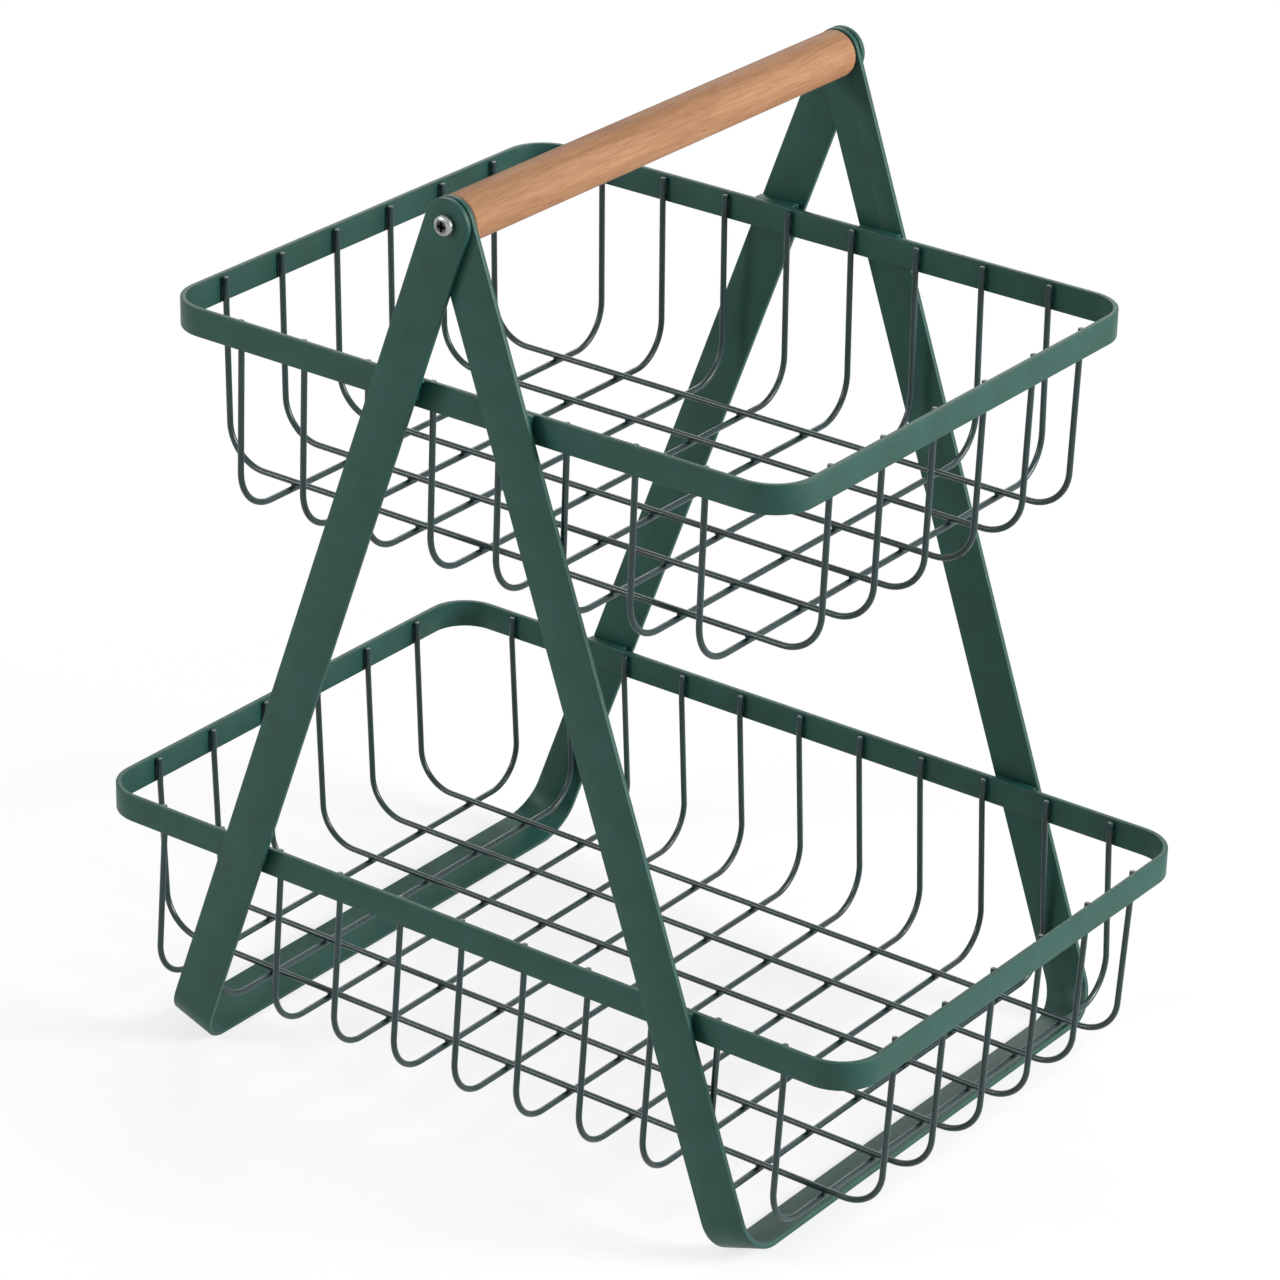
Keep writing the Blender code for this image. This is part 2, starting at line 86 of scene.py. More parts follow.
# Screw, its cross recess, and the holes for it
SCREW_HEAD_RADIUS = 3.6 * MM
SCREW_HEAD_HEIGHT = 2.3 * MM
DOME_HEIGHT = 0.62 * SCREW_HEAD_HEIGHT
SCREW_RADIUS = 2.0 * MM
SCREW_POINT = 4.0 * MM
SCREW_TIP_SHARE = 0.08
RECESS_SPAN = 4.6 * MM
RECESS_WIDTH = 1.2 * MM
RECESS_DEPTH = 1.4 * MM
RECESS_TAPER = 0.5
HOLE_RADIUS = 2.3 * MM
# The head's colour holds a painted highlight from the second radius out and painted shade within the first,
# where it keeps this share of it
PAINTED_HIGHLIGHT_START = 0.42 * SCREW_HEAD_RADIUS
PAINTED_HIGHLIGHT_FULL = 0.75 * SCREW_HEAD_RADIUS
PAINTED_SHADE_SHARE = 0.12

# Grip
GRIP_EASE = 1.0 * MM
GRIP_BORE = 24.0 * MM

# How much closer the feet are than the leg ends
LEFT_NARROWING = 8.0 * MM
RIGHT_NARROWING = 2.0 * MM

# Long wires in each basket
LONG_COUNT = 6
# Tier, number of cross wires, and how far the walls lean out across and along, below zero for in
TIERS = (("upper", 8, 1.1 * MM, -1.0 * MM), ("lower", 11, 3.6 * MM, -2.2 * MM))

# Camera of the photograph: azimuth, elevation and roll in degrees, lens in mm, target and distance in metres
CAMERA_ANGLES = (35.98, 25.53, 1.41)
CAMERA_LENS = 143.1
CAMERA_TARGET = (0.22851, -0.31604, 0.34129)
CAMERA_DISTANCE = 1.3336

# Floor in metres: it starts to fade at the first distance and is plain white from the second on
FLOOR_SIZE = 12.0
FADE_START = 0.15
FADE_END = 0.45
# Share of plain white in the floor under the rack, where the rest is paint that takes the shadow
FADE_LEAST = 0.72

# Strength of the ambient light, and the softboxes: name, place, side in metres and watts
AMBIENT = 0.35
SOFTBOXES = (
    ("key_right", (2.3, 0.8, 1.15), 1.1, 98.0),
    ("fill_left", (-1.3, -1.7, 1.2), 0.7, 22.0),
    ("edge_back", (-1.5, 2.2, 1.7), 1.4, 20.0),
)
SOFTBOX_AIM = Vector((0, 0, 0.17))

# Widths and depths of the patterns in the coat, the wood and the zinc plate
COAT_CLOUD = 12.0 * MM
COAT_RIPPLE = 0.9 * MM
COAT_RIPPLE_DEPTH = 0.05 * MM
COAT_GRIT = 0.3 * MM
COAT_GRIT_DEPTH = 0.02 * MM
RING_WIDTH = 4.5 * MM
FIBRE_WIDTH = 0.7 * MM
FIBRE_DEPTH = 0.04 * MM
FLECK_SPACING = 0.9 * MM
PLATE_CLOUD = 1.5 * MM
PLATE_MARK = 0.15 * MM
PLATE_MARK_DEPTH = 0.02 * MM
# Places along the grain are scaled by these, which draws the patterns out into streaks
GRAIN_SCALE = 0.06
FLECK_SCALE = 0.14

# How finely the round shapes are divided
BAR_BEND_STEPS = 20
LEG_END_SEGMENTS = 20
RIM_CORNER_SEGMENTS = 20
WIRE_SIDES = 20
WIRE_BEND_STEPS = 14
BEAD_SEGMENTS = 16
BEAD_RINGS = 10
TAB_BEND_SEGMENTS = 6
GRIP_SIDES = 96
GRIP_EASE_SEGMENTS = 5
SCREW_SIDES = 64
DOME_SEGMENTS = 8
HOLE_SIDES = 48

# Gap that the solids keep where the real pieces are welded
WELD_GAP = 0.3 * MM
# How far the drill for the grip starts outside it
OVERRUN = 5.0 * MM
# Points nearer than this are one point
MERGE_DISTANCE = 0.002 * MM
# How far a point may be from the place where it is looked for
NEARBY = MM / 10
# Parts of a unit direction along an axis, for one that runs along the axis and one that runs across it
ALONG = 0.9
ACROSS = 0.1
# Edges sharper than the first angle are rounded, and those blunter than the others are shaded smooth
SHARP_ANGLE = math.radians(50)
SMOOTH_ANGLE = math.radians(30)
BEAD_SMOOTH_ANGLE = math.radians(60)

# Sockets of a colour Mix node, which go by number: its share, its two colours and its result
MIX_SHARE = 0
MIX_FIRST = 6
MIX_SECOND = 7
MIX_RESULT = 2


def linear(code):
    """An sRGB hex colour as linear red, green, blue and alpha."""
    parts = []
    for start in (1, 3, 5):
        value = int(code[start:start + 2], 16) / 255
        parts.append(value / 12.92 if value <= 0.04045 else ((value + 0.055) / 1.055) ** 2.4)
    return (*parts, 1.0)


def add_node(owner, kind, inputs=None, **settings):
    """Adds a node to a material or world. Inputs map a socket to a value, or to the output that feeds it."""
    tree = owner.node_tree
    node = tree.nodes.new(kind)
    for name, value in settings.items():
        setattr(node, name, value)
    for name, value in (inputs or {}).items():
        if isinstance(value, bpy.types.NodeSocket):
            tree.links.new(value, node.inputs[name])
        else:
            node.inputs[name].default_value = value
    return node


def set_ramp(ramp, *stops):
    """Gives a colour ramp its stops, each a place from 0 to 1 and a linear colour."""
    elements = ramp.color_ramp.elements
    while len(elements) > len(stops):
        elements.remove(elements[-1])
    while len(elements) < len(stops):
        elements.new(1.0)
    for element, (place, colour) in zip(elements, stops):
        element.position = place
        element.color = colour


def new_material(name):
    """A new material and its shader."""
    material = bpy.data.materials.new(name)
    material.use_nodes = True
    return material, material.node_tree.nodes["Principled BSDF"]


def feed_shader(material, shader, colour, roughness, normal):
    """Leads colour, roughness and normal into the shader."""
    links = material.node_tree.links
    links.new(colour, shader.inputs["Base Color"])
    links.new(roughness, shader.inputs["Roughness"])
    links.new(normal, shader.inputs["Normal"])


def powder_coat(name, deep, pale, rough, peel, shine):
    """Polyester powder sprayed on steel and baked: a low sheen with the fine ripple called orange peel.

    The ripple is 0.9 mm across and the pigment clouds over 12 mm, from the deep colour to the pale one."""
    material, shader = new_material(name)
    place = add_node(material, "ShaderNodeTexCoord").outputs["Object"]
    clouds = add_node(material, "ShaderNodeTexNoise", {
        "Vector": place, "Scale": 1 / COAT_CLOUD, "Detail": 3.0,
    })
    ripple = add_node(material, "ShaderNodeTexNoise", {
        "Vector": place, "Scale": 1 / COAT_RIPPLE, "Detail": 2.0,
    })
    grit = add_node(material, "ShaderNodeTexNoise", {
        "Vector": place, "Scale": 1 / COAT_GRIT, "Detail": 1.0,
    })
    tone = add_node(material, "ShaderNodeValToRGB", {"Fac": clouds.outputs["Fac"]})
    set_ramp(tone, (0.3, linear(deep)), (0.7, linear(pale)))
    gloss = add_node(material, "ShaderNodeMapRange", {
        "Value": ripple.outputs["Fac"], "From Min": 0.3, "From Max": 0.7,
        "To Min": rough - 0.05, "To Max": rough + 0.06,
    })
    soft = add_node(material, "ShaderNodeBump", {
        "Height": ripple.outputs["Fac"], "Strength": peel, "Distance": COAT_RIPPLE_DEPTH,
    })
    fine = add_node(material, "ShaderNodeBump", {
        "Height": grit.outputs["Fac"], "Strength": peel * 0.5, "Distance": COAT_GRIT_DEPTH,
        "Normal": soft.outputs["Normal"],
    })
    feed_shader(material, shader, tone.outputs["Color"], gloss.outputs["Result"], fine.outputs["Normal"])
    shader.inputs["IOR"].default_value = 1.5
    shader.inputs["Specular IOR Level"].default_value = shine
    return material


def clear_coated_beech():
    """Steamed beech, turned and clear-coated: straight pinkish-brown grain with short dark ray flecks.

    Growth rings show as streaks 4.5 mm apart, flecks are about 0.4 by 3 mm, and all run along the grip."""
    material, shader = new_material("clear_coated_beech")
    place = add_node(material, "ShaderNodeTexCoord").outputs["Object"]
    grain = add_node(material, "ShaderNodeMapping", {"Vector": place, "Scale": (1.0, GRAIN_SCALE, 1.0)})
    short = add_node(material, "ShaderNodeMapping", {"Vector": place, "Scale": (1.0, FLECK_SCALE, 1.0)})
    rings = add_node(material, "ShaderNodeTexNoise", {
        "Vector": grain.outputs["Vector"], "Scale": 1 / RING_WIDTH, "Detail": 4.0, "Roughness": 0.55,
        "Distortion": 0.6,
    })
    fibre = add_node(material, "ShaderNodeTexNoise", {
        "Vector": grain.outputs["Vector"], "Scale": 1 / FIBRE_WIDTH, "Detail": 3.0,
    })
    flecks = add_node(material, "ShaderNodeTexVoronoi", {
        "Vector": short.outputs["Vector"], "Scale": 1 / FLECK_SPACING,
    })
    tone = add_node(material, "ShaderNodeValToRGB", {"Fac": rings.outputs["Fac"]})
    set_ramp(tone, (0.28, linear("#8E6748")), (0.5, linear("#976F50")), (0.72, linear("#A07959")))
    streak = add_node(material, "ShaderNodeValToRGB", {"Fac": fibre.outputs["Fac"]})
    set_ramp(streak, (0.3, linear("#E9E2DA")), (0.62, linear("#FFFFFF")))
    fleck = add_node(material, "ShaderNodeValToRGB", {"Fac": flecks.outputs["Distance"]})
    set_ramp(fleck, (0.12, linear("#B7A595")), (0.24, linear("#FFFFFF")))
    grained = add_node(material, "ShaderNodeMix", {
        MIX_SHARE: 1.0, MIX_FIRST: tone.outputs["Color"], MIX_SECOND: streak.outputs["Color"],
    }, data_type="RGBA", blend_type="MULTIPLY")
    flecked = add_node(material, "ShaderNodeMix", {
        MIX_SHARE: 0.35, MIX_FIRST: grained.outputs[MIX_RESULT], MIX_SECOND: fleck.outputs["Color"],
    }, data_type="RGBA", blend_type="MULTIPLY")
    colour = flecked.outputs[MIX_RESULT]
    gloss = add_node(material, "ShaderNodeMapRange", {
        "Value": fibre.outputs["Fac"], "From Min": 0.3, "From Max": 0.7, "To Min": 0.66, "To Max": 0.58,
    })
    relief = add_node(material, "ShaderNodeBump", {
        "Height": fibre.outputs["Fac"], "Strength": 0.25, "Distance": FIBRE_DEPTH,
    })
    feed_shader(material, shader, colour, gloss.outputs["Result"], relief.outputs["Normal"])
    shader.inputs["IOR"].default_value = 1.5
    shader.inputs["Specular IOR Level"].default_value = 0.2
    return material


def zinc_plated_steel():
    """Cold-headed screw with bright zinc plate: silvery, faintly clouded, with fine marks 0.15 mm apart.

    The dome's colour holds a painted highlight as a ring, and painted shade in the middle round the recess."""
    material, shader = new_material("zinc_plated_steel")
    place = add_node(material, "ShaderNodeTexCoord").outputs["Object"]
    clouds = add_node(material, "ShaderNodeTexNoise", {
        "Vector": place, "Scale": 1 / PLATE_CLOUD, "Detail": 3.0,
    })
    marks = add_node(material, "ShaderNodeTexNoise", {
        "Vector": place, "Scale": 1 / PLATE_MARK, "Detail": 2.0,
    })
    tone = add_node(material, "ShaderNodeValToRGB", {"Fac": clouds.outputs["Fac"]})
    set_ramp(tone, (0.35, linear("#808384")), (0.65, linear("#B4B6B5")))
    centred = add_node(material, "ShaderNodeVectorMath", {0: place, 1: PIVOT}, operation="SUBTRACT")
    flat = add_node(material, "ShaderNodeVectorMath", {
        0: centred.outputs[0], 1: (1, 0, 1),
    }, operation="MULTIPLY")
    radius = add_node(material, "ShaderNodeVectorMath", {0: flat.outputs[0]}, operation="LENGTH")
    # Painted highlight on the dome and painted shade round the recess, set by the distance from the screw's
    # axis
    ring = add_node(material, "ShaderNodeMapRange", {
        "Value": radius.outputs["Value"], "From Min": PAINTED_HIGHLIGHT_START, "From Max": PAINTED_HIGHLIGHT_FULL,
        "To Min": PAINTED_SHADE_SHARE, "To Max": 1.0,
    })
    plate = add_node(material, "ShaderNodeVectorMath", {
        0: tone.outputs["Color"], "Scale": ring.outputs["Result"],
    }, operation="SCALE")
    gloss = add_node(material, "ShaderNodeMapRange", {
        "Value": clouds.outputs["Fac"], "From Min": 0.3, "From Max": 0.7, "To Min": 0.30, "To Max": 0.44,
    })
    relief = add_node(material, "ShaderNodeBump", {
        "Height": marks.outputs["Fac"], "Strength": 0.3, "Distance": PLATE_MARK_DEPTH,
    })
    feed_shader(material, shader, plate.outputs[0], gloss.outputs["Result"], relief.outputs["Normal"])
    shader.inputs["Metallic"].default_value = 1.0
    return material


# Bars, strips, hooks and keepers share one dark green coat; on the thin wires and welds it is painted darker
# and greyer
COATED_BAR = powder_coat(
    "powder_coated_flat_steel", "#0C3A31", "#11433A", rough=0.49, peel=0.4, shine=0.36)
# The wires' copy of the coat is painted shade: the same paint, darkened and greyed for how thin round wires
# look
COATED_WIRE = powder_coat(
    "powder_coated_steel_wire", "#142A29", "#193231", rough=0.30, peel=0.12, shine=0.45)
BEECH = clear_coated_beech()
ZINC = zinc_plated_steel()


def only(piece):
    """Selects this piece alone and makes it active."""
    bpy.ops.object.select_all(action="DESELECT")
    piece.select_set(True)
    bpy.context.view_layer.objects.active = piece


def started(name):
    """The primitive that was just added, named, with its place taken into its mesh."""
    piece = bpy.context.object
    piece.name = name
    piece.data.name = name
    only(piece)
    bpy.ops.object.transform_apply(location=True, rotation=True, scale=True)
    return piece


def edit(piece, kind="FACE"):
    """Opens a piece for work on its faces or edges."""
    only(piece)
    bpy.ops.object.mode_set(mode="EDIT")
    bpy.ops.mesh.select_mode(type=kind)


def done():
    """Closes the piece that is open."""
    bpy.ops.object.mode_set(mode="OBJECT")


def pick(piece, kind, test):
    """Selects only the faces or edges of an open piece whose middle and direction pass a test."""
    bpy.ops.mesh.select_all(action="DESELECT")
    work = bmesh.from_edit_mesh(piece.data)
    for item in getattr(work, kind):
        if kind == "faces":
            middle = item.calc_center_median()
            way = item.normal
        else:
            first, second = item.verts
            middle = (first.co + second.co) / 2
            way = (second.co - first.co).normalized()
        if test(middle, way):
            item.select_set(True)
    work.select_flush_mode()
    bmesh.update_edit_mesh(piece.data)


def extrude(move):
    """Draws the selected face or edge out along a move."""
    bpy.ops.mesh.extrude_region_move(TRANSFORM_OT_translate={"value": tuple(move)})


def apply_modifier(piece, kind, **settings):
    """Adds a modifier with its settings and applies it."""
    only(piece)
    modifier = piece.modifiers.new("shaping", kind)
    for name, value in settings.items():
        setattr(modifier, name, value)
    bpy.ops.object.modifier_apply(modifier=modifier.name)


def round_edges(piece, width, segments=3):
    """Rounds the sharp edges of a piece."""
    apply_modifier(
        piece, "BEVEL", width=width, segments=segments, limit_method="ANGLE", angle_limit=SHARP_ANGLE)


def cut(piece, tool):
    """Cuts the tool from the piece and removes the tool."""
    apply_modifier(piece, "BOOLEAN", operation="DIFFERENCE", solver="EXACT", object=tool)
    bpy.data.objects.remove(tool, do_unlink=True)


def outward(piece):
    """Merges doubled points and turns every face outwards."""
    edit(piece)
    bpy.ops.mesh.select_all(action="SELECT")
    bpy.ops.mesh.remove_doubles(threshold=MERGE_DISTANCE)
    bpy.ops.mesh.normals_make_consistent(inside=False)
    done()


def put(piece, location=(0, 0, 0), rotation=(0, 0, 0)):
    """Moves a piece and takes its place into its mesh."""
    piece.location = location
    piece.rotation_euler = rotation
    only(piece)
    bpy.ops.object.transform_apply(location=True, rotation=True, scale=True)
    return piece


def copy_of(piece, name, location=(0, 0, 0), rotation=(0, 0, 0)):
    """A copy with a mesh of its own, moved to its place."""
    made = piece.copy()
    made.data = piece.data.copy()
    made.name = name
    made.data.name = name
    bpy.context.scene.collection.objects.link(made)
    return put(made, location, rotation)


def finish_piece(piece, material, body, slot, *nodes, angle=SMOOTH_ANGLE):
    """Shading, material and body of a piece, and the nodes that it stands for."""
    only(piece)
    bpy.ops.object.shade_smooth_by_angle(angle=angle)
    piece.data.materials.clear()
    piece.data.materials.append(material)
    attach(piece, body)
    if nodes:
        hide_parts(*nodes)
    return piece


def model_bail(name, narrowing):
    """A flat bar bent into a U, its leg ends rounded and drilled for the screws, tilted into place."""
    side = -1 if name == "left" else 1
    half_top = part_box(f"{name}_leg_rear")[1].y
    half_foot = half_top - narrowing / 2 * (1 + BAR_WIDTH / 2 / LEG_LENGTH)
    low = FOOT_BEND - LEG_LENGTH
    top = BAR_WIDTH / 2
    corner = half_foot - FOOT_BEND
    bpy.ops.mesh.primitive_plane_add(size=1, location=(0, BAR_THICKNESS / 2 - half_top, top))
    bpy.context.object.scale = (BAR_WIDTH, BAR_THICKNESS, 1)
    bail = started(f"{name}_bail_bar")
    edit(bail)
    bpy.ops.mesh.select_all(action="SELECT")
    extrude((0, half_top - half_foot, low - top))
    bpy.ops.mesh.spin(steps=BAR_BEND_STEPS, angle=-math.pi / 2, center=(0, -corner, low), axis=(1, 0, 0))
    extrude((0, 2 * corner, 0))
    bpy.ops.mesh.spin(steps=BAR_BEND_STEPS, angle=-math.pi / 2, center=(0, corner, low), axis=(1, 0, 0))
    extrude((0, half_top - half_foot, top - low))
    pick(bail, "edges", lambda middle, way: abs(way.y) > ALONG and middle.z > top - NEARBY)
    bpy.ops.mesh.bevel(offset=top - NEARBY, segments=LEG_END_SEGMENTS, affect="EDGES")
    done()
    outward(bail)
    round_edges(bail, BAR_EDGE)
    bpy.ops.mesh.primitive_cylinder_add(
        vertices=HOLE_SIDES, radius=HOLE_RADIUS, depth=3 * half_top, rotation=(math.pi / 2, 0, 0))
    cut(bail, started("drill"))
    put(bail, PIVOT, (0, -side * LEG_TILT, 0))
    edit(bail)
    bpy.ops.mesh.select_all(action="SELECT")
    bpy.ops.mesh.bisect(
        plane_co=(0, 0, 0), plane_no=(0, 0, 1), use_fill=True, clear_inner=True, threshold=MERGE_DISTANCE)
    done()
    nodes = [f"{name}_{part}" for part in ("foot", "leg_near", "leg_rear")]
    return finish_piece(bail, COATED_BAR, f"{name}_frame", "frame_coat", *nodes)


def model_rim(tier):
    """A flat strip bent round four corners, with its edges rounded by the coat."""
    low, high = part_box(f"{tier}_rim")
    bpy.ops.mesh.primitive_cube_add(size=1, location=(low + high) / 2, scale=high - low)
    rim = started(f"{tier}_rim_strip")
    edit(rim)
    pick(rim, "edges", lambda middle, way: abs(way.z) > ALONG)
    bpy.ops.mesh.bevel(offset=RIM_CORNER, segments=RIM_CORNER_SEGMENTS, affect="EDGES")
    pick(rim, "faces", lambda middle, way: abs(way.z) > ALONG)
    bpy.ops.mesh.delete(type="ONLY_FACE")
    done()
    apply_modifier(rim, "SOLIDIFY", thickness=RIM_THICKNESS, offset=-1, use_even_offset=True)
    round_edges(rim, RIM_EDGE)
    return finish_piece(rim, COATED_BAR, f"{tier}_basket", "frame_coat", f"{tier}_rim")


def model_wire(name, reach, flare, straight, floor):
    """A drawn wire bent into a U in the plane of X and Z, its ends up and rounded by the coat."""
    bpy.ops.mesh.primitive_circle_add(
        vertices=WIRE_SIDES, radius=WIRE_RADIUS, fill_type="NGON", location=(-reach, 0, -WIRE_END_DROP))
    wire = started(name)
    low = WIRE_BEND - floor
    corner = reach + flare - WIRE_BEND
    edit(wire)
    bpy.ops.mesh.select_all(action="SELECT")
    extrude((0, 0, WIRE_END_DROP - straight))
    extrude((-flare, 0, low + straight))
    bpy.ops.mesh.spin(steps=WIRE_BEND_STEPS, angle=math.pi / 2, center=(-corner, 0, low), axis=(0, 1, 0))
    extrude((2 * corner, 0, 0))
    bpy.ops.mesh.spin(steps=WIRE_BEND_STEPS, angle=math.pi / 2, center=(corner, 0, low), axis=(0, 1, 0))
    extrude((-flare, 0, -low - straight))
    extrude((0, 0, straight - WIRE_END_DROP))
    done()
    outward(wire)
    round_edges(wire, WIRE_END_EDGE)
    return wire


def model_wires(tier, way, count, flare):
    """The wires of one basket that run one way: the first is bent, the others are copies of it."""
    rim_low, rim_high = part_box(f"{tier}_rim")
    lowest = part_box(f"{tier}_{way}_wire_1")[0]
    half = rim_high.y if way == "cross" else rim_high.x
    turn = math.pi / 2 if way == "cross" else 0
    reach = half - RIM_THICKNESS - WELD_GAP - WIRE_RADIUS
    floor = rim_high.z - lowest.z - WIRE_RADIUS
    first = model_wire(f"{tier}_{way}_wire_form", reach, flare, rim_high.z - rim_low.z, floor)
    for number in range(1, count + 1):
        node = f"{tier}_{way}_wire_{number}"
        low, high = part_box(node)
        middle = (low + high) / 2
        wire = copy_of(first, f"{node}_coated", (middle.x, middle.y, rim_high.z), (0, 0, turn))
        finish_piece(wire, COATED_WIRE, f"{tier}_basket", "wire_coat", node)
    bpy.data.objects.remove(first, do_unlink=True)


def bead(name, location, size):
    """A smooth lump of weld under the coat."""
    bpy.ops.mesh.primitive_uv_sphere_add(
        segments=BEAD_SEGMENTS, ring_count=BEAD_RINGS, location=location, scale=size)
    return started(name)


def joined(pieces, name):
    """The pieces as one, named."""
    bpy.ops.object.select_all(action="DESELECT")
    for piece in pieces:
        piece.select_set(True)
    bpy.context.view_layer.objects.active = pieces[0]
    bpy.ops.object.join()
    pieces[0].name = name
    pieces[0].data.name = name
    return pieces[0]


def model_welds(tier, cross_count, long_count):
    """Beads where the wire ends meet the rim and small nuggets where the wires cross."""
    rim_low, rim_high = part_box(f"{tier}_rim")
    height = rim_high.z - rim_low.z
    level = rim_low.z + BEAD_LEVEL_SHARE * height
    tall = BEAD_HEIGHT_SHARE * height
    cross = [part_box(f"{tier}_cross_wire_{number}") for number in range(1, cross_count + 1)]
    along = [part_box(f"{tier}_long_wire_{number}") for number in range(1, long_count + 1)]
    columns = [(low.x + high.x) / 2 for low, high in cross]
    rows = [(low.y + high.y) / 2 for low, high in along]
    end_welds = []
    for side in (-1, 1):
        for x in columns:
            y = side * (rim_high.y - RIM_THICKNESS - WELD_GAP / 2)
            end_welds.append(bead("end_weld", (x, y, level), (BEAD_WIDTH, BEAD_DEPTH, tall)))
        for y in rows:
            x = side * (rim_high.x - RIM_THICKNESS - WELD_GAP / 2)
            end_welds.append(bead("end_weld", (x, y, level), (BEAD_DEPTH, BEAD_WIDTH, tall)))
    ends = joined(end_welds, f"{tier}_end_welds")
    finish_piece(ends, COATED_WIRE, f"{tier}_basket", "wire_coat", angle=BEAD_SMOOTH_ANGLE)
    crossing = (cross[0][0].z + along[0][0].z) / 2 + WIRE_RADIUS
    nuggets = [
        bead("nugget", (x, y, crossing), (NUGGET_WIDTH, NUGGET_WIDTH, NUGGET_HEIGHT))
        for x in columns for y in rows
    ]
    middle = joined(nuggets, f"{tier}_crossing_welds")
    finish_piece(middle, COATED_WIRE, f"{tier}_basket", "wire_coat", angle=BEAD_SMOOTH_ANGLE)


def model_tab(node, body):
    """A sheet tab with one bend: a hook turns down from the rim, a keeper turns up from the leg."""
    low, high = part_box(node)
    hook = "_hook_" in node
    away = (1 if low.y > 0 else -1) * (1 if hook else -1)
    root = (low.y if away > 0 else high.y) - away * WELD_GAP
    tip = high.y if away > 0 else low.y
    level = high.z if hook else low.z
    turned = (low.z - high.z) * (1 if hook else -1)
    start = ((low.x + high.x) / 2, (root + tip) / 2, level)
    bpy.ops.mesh.primitive_plane_add(size=1, location=start)
    bpy.context.object.scale = (high.x - low.x, abs(tip - root), 1)
    tab = started(f"{node}_tab")
    edit(tab, "EDGE")
    pick(tab, "edges", lambda middle, way: abs(middle.y - tip) < NEARBY)
    extrude((0, 0, turned))
    pick(tab, "edges", lambda middle, way: abs(middle.y - tip) < NEARBY and abs(middle.z - level) < NEARBY)
    bpy.ops.mesh.bevel(offset=SHEET_BEND, segments=TAB_BEND_SEGMENTS, affect="EDGES")
    done()
    apply_modifier(tab, "SOLIDIFY", thickness=SHEET, offset=-1 if hook else 1, use_even_offset=True)
    round_edges(tab, SHEET_EDGE, 2)
    return finish_piece(tab, COATED_BAR, body, "frame_coat", node)


def model_grip():
    """A turned dowel with eased ends, drilled for a screw in each end."""
    low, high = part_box("grip")
    radius = (high.z - low.z) / 2
    length = high.y - low.y
    bpy.ops.mesh.primitive_cylinder_add(
        vertices=GRIP_SIDES, radius=radius, depth=length,
        location=(low + high) / 2, rotation=(math.pi / 2, 0, 0))
    grip = started("turned_grip")
    edit(grip, "EDGE")
    pick(grip, "edges", lambda middle, way: abs(middle.y) > length / 2 - NEARBY and abs(way.y) < ACROSS)
    bpy.ops.mesh.bevel(offset=GRIP_EASE, segments=GRIP_EASE_SEGMENTS, affect="EDGES")
    done()
    for side in (-1, 1):
        depth = GRIP_BORE + OVERRUN
        bpy.ops.mesh.primitive_cylinder_add(
            vertices=HOLE_SIDES, radius=HOLE_RADIUS, depth=depth, rotation=(math.pi / 2, 0, 0),
            location=(0, side * (length / 2 + OVERRUN - depth / 2), PIVOT.z))
        cut(grip, started("drill"))
    return finish_piece(grip, BEECH, "left_frame", "grip_wood", "grip")


def model_screw(end_name, side):
    """A cold-headed pan screw: domed head with a cross recess, shank and point."""
    low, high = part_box(f"screw_{end_name}")
    length = high.y - low.y - SCREW_HEAD_HEIGHT
    bpy.ops.mesh.primitive_cylinder_add(
        vertices=SCREW_SIDES, radius=SCREW_HEAD_RADIUS, depth=SCREW_HEAD_HEIGHT,
        location=(0, 0, SCREW_HEAD_HEIGHT / 2))
    screw = started(f"pan_screw_{end_name}")
    edit(screw, "EDGE")
    pick(screw, "edges", lambda middle, way: middle.z > SCREW_HEAD_HEIGHT - NEARBY and abs(way.z) < ACROSS)
    bpy.ops.mesh.bevel(offset=DOME_HEIGHT, segments=DOME_SEGMENTS, affect="EDGES")
    bpy.ops.mesh.select_mode(type="FACE")
    pick(screw, "faces", lambda middle, way: way.z < -ALONG)
    bpy.ops.mesh.inset(thickness=SCREW_HEAD_RADIUS - SCREW_RADIUS)
    extrude((0, 0, SCREW_POINT - length))
    extrude((0, 0, -SCREW_POINT))
    bpy.ops.transform.resize(value=(SCREW_TIP_SHARE, SCREW_TIP_SHARE, 1), center_override=(0, 0, -length))
    done()
    for angle in (0, math.pi / 2):
        bpy.ops.mesh.primitive_cube_add(
            size=1, location=(0, 0, SCREW_HEAD_HEIGHT), rotation=(0, 0, angle),
            scale=(RECESS_SPAN, RECESS_WIDTH, 2 * RECESS_DEPTH))
        blade = started("driver_blade")
        edit(blade)
        pick(blade, "faces", lambda middle, way: way.z < -ALONG)
        bpy.ops.transform.resize(value=(RECESS_TAPER, RECESS_TAPER, 1), center_override=(0, 0, 0))
        done()
        cut(screw, blade)
    face = (high.y if side > 0 else low.y) - side * SCREW_HEAD_HEIGHT
    put(screw, (0, face, PIVOT.z), (-side * math.pi / 2, 0, 0))
    return finish_piece(screw, ZINC, "left_frame", "screw_zinc", f"screw_{end_name}")


def model_rack():
    """Every piece of the rack: the frame, then each basket with its hooks and keepers."""
    model_bail("left", LEFT_NARROWING)
    model_bail("right", RIGHT_NARROWING)
    model_grip()
    model_screw("near", -1)
    model_screw("rear", 1)
    for tier, cross_count, cross_flare, long_flare in TIERS:
        model_rim(tier)
        model_wires(tier, "cross", cross_count, cross_flare)
        model_wires(tier, "long", LONG_COUNT, long_flare)
        model_welds(tier, cross_count, LONG_COUNT)
        for side in ("left", "right"):
            for end in ("near", "rear"):
                model_tab(f"{tier}_hook_{side}_{end}", f"{tier}_basket")
                model_tab(f"{tier}_keeper_{side}_{end}", f"{side}_frame")


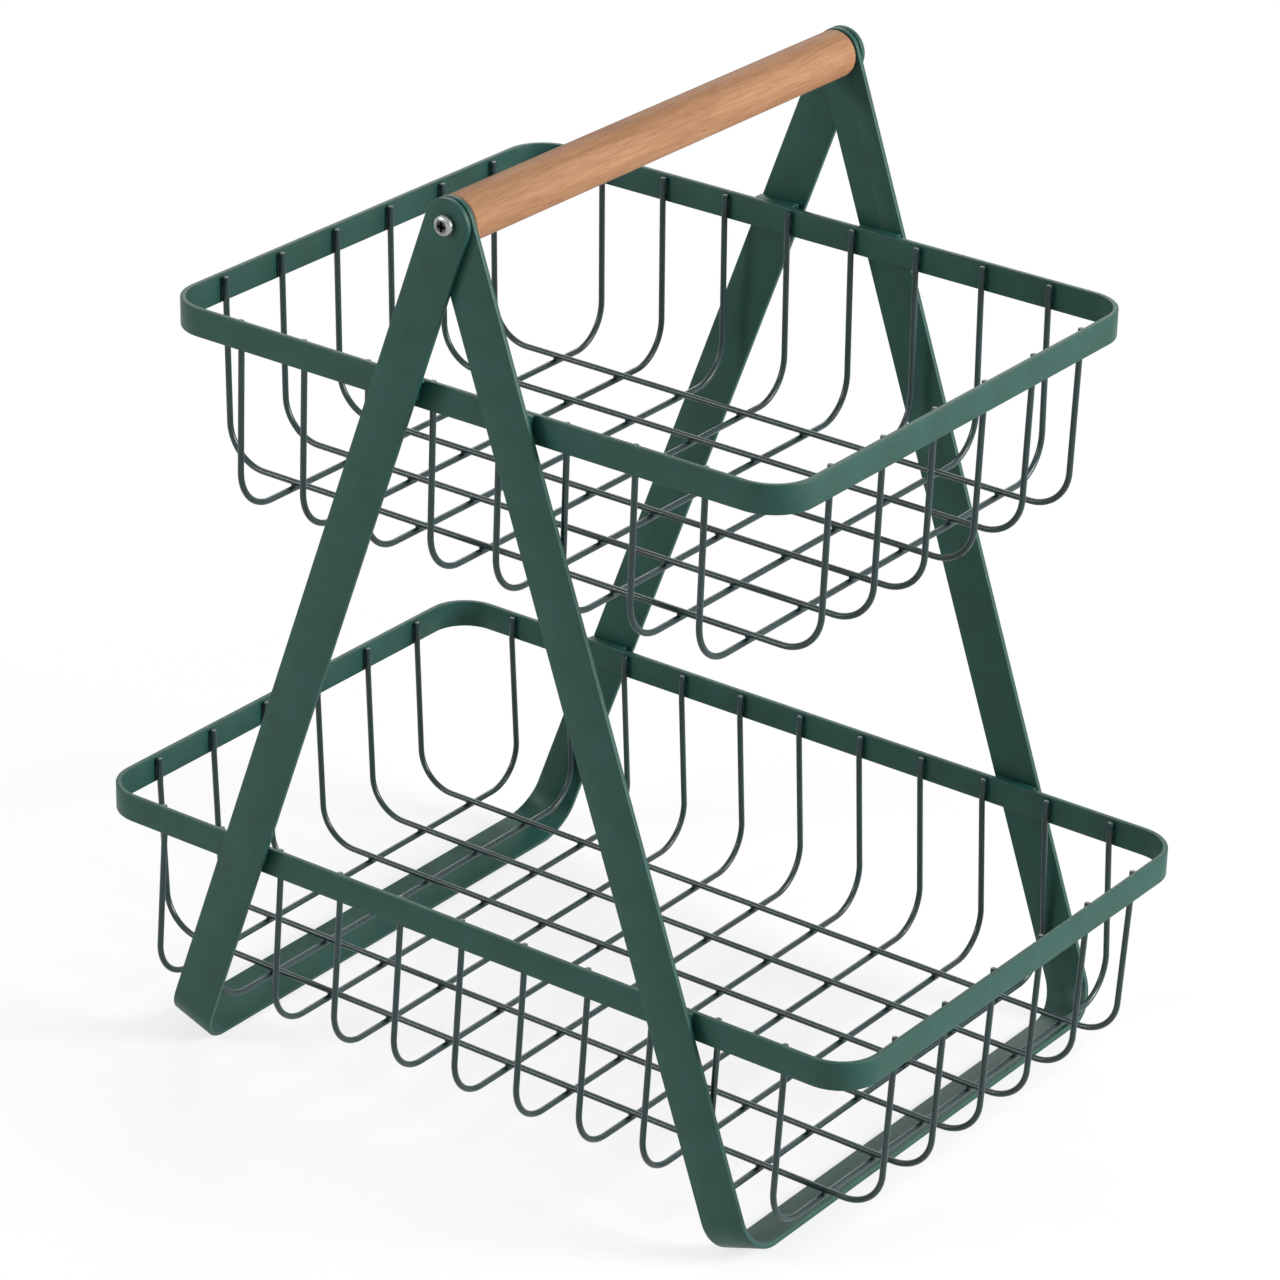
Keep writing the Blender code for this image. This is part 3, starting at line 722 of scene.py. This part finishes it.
def seen_rays(owner):
    """An output that is 1 for camera, glossy and transmission rays, and 0 for the rest."""
    rays = add_node(owner, "ShaderNodeLightPath").outputs
    seen = rays["Is Camera Ray"]
    for kind in ("Is Glossy Ray", "Is Transmission Ray"):
        seen = add_node(owner, "ShaderNodeMath", {0: seen, 1: rays[kind]}, operation="MAXIMUM").outputs[0]
    return seen


def pale_floor():
    """White studio floor that fades to plain white away from the rack, and keeps its shadow beside it."""
    material = bpy.data.materials.new("matt_white_floor")
    material.use_nodes = True
    material.node_tree.nodes.clear()
    place = add_node(material, "ShaderNodeTexCoord").outputs["Object"]
    distance = add_node(material, "ShaderNodeVectorMath", {0: place}, operation="LENGTH").outputs["Value"]
    fade = add_node(material, "ShaderNodeMapRange", {
        "Value": distance, "From Min": FADE_START, "From Max": FADE_END, "To Min": FADE_LEAST, "To Max": 1.0,
    }, interpolation_type="SMOOTHSTEP").outputs["Result"]
    share = add_node(material, "ShaderNodeMath", {0: seen_rays(material), 1: fade}, operation="MULTIPLY")
    paint = add_node(material, "ShaderNodeBsdfDiffuse", {"Color": linear("#F4F4F4")})
    white = add_node(material, "ShaderNodeEmission", {"Color": linear("#FFFFFF"), "Strength": 1.0})
    mixed = add_node(material, "ShaderNodeMixShader", {
        0: share.outputs[0], 1: paint.outputs["BSDF"], 2: white.outputs["Emission"],
    })
    add_node(material, "ShaderNodeOutputMaterial", {"Surface": mixed.outputs["Shader"]})
    return material


def add_floor():
    """The floor, which belongs to the stage and not to the rack."""
    bpy.ops.mesh.primitive_plane_add(size=FLOOR_SIZE, location=(0, 0, 0))
    floor = started("floor")
    edit(floor)
    bpy.ops.mesh.subdivide(number_cuts=4)
    done()
    floor.data.materials.append(pale_floor())


def white_world():
    """Plain ambient light, seen as white behind the rack and in its coat."""
    world = bpy.data.worlds.new("white_studio")
    bpy.context.scene.world = world
    world.use_nodes = True
    world.node_tree.nodes.clear()
    ambient = add_node(world, "ShaderNodeBackground", {"Color": linear("#FFFFFF"), "Strength": AMBIENT})
    backdrop = add_node(world, "ShaderNodeBackground", {"Color": linear("#FFFFFF"), "Strength": 1.0})
    mixed = add_node(world, "ShaderNodeMixShader", {
        0: seen_rays(world), 1: ambient.outputs[0], 2: backdrop.outputs[0],
    })
    add_node(world, "ShaderNodeOutputWorld", {"Surface": mixed.outputs["Shader"]})


def add_softbox(name, location, size, power):
    """A square softbox aimed at the middle of the rack."""
    lamp = bpy.data.lights.new(name, "AREA")
    lamp.shape = "SQUARE"
    lamp.size = size
    lamp.energy = power
    box = bpy.data.objects.new(name, lamp)
    bpy.context.scene.collection.objects.link(box)
    box.location = location
    aim = SOFTBOX_AIM - box.location
    box.rotation_euler = aim.to_track_quat("-Z", "Y").to_euler()


def add_camera():
    """A long lens that looks from the right and above, slightly rolled as in the photograph."""
    azimuth, elevation, roll = (math.radians(angle) for angle in CAMERA_ANGLES)
    flat = math.cos(elevation)
    back = Vector((math.sin(azimuth) * flat, -math.cos(azimuth) * flat, math.sin(elevation)))
    right = Vector((0, 0, 1)).cross(back).normalized()
    up = back.cross(right)
    turned_right = right * math.cos(roll) + up * math.sin(roll)
    turned_up = up * math.cos(roll) - right * math.sin(roll)
    data = bpy.data.cameras.new("camera")
    data.sensor_width = 36.0
    data.lens = CAMERA_LENS
    data.clip_start = 0.05
    data.clip_end = 50.0
    camera = bpy.data.objects.new("camera", data)
    bpy.context.scene.collection.objects.link(camera)
    turn = Matrix((turned_right, turned_up, back)).transposed().to_4x4()
    camera.matrix_world = Matrix.Translation(Vector(CAMERA_TARGET) + back * CAMERA_DISTANCE) @ turn
    bpy.context.scene.camera = camera


model_rack()
add_floor()
white_world()
for softbox in SOFTBOXES:
    add_softbox(*softbox)
add_camera()

bpy.context.scene.view_settings.view_transform = "Standard"
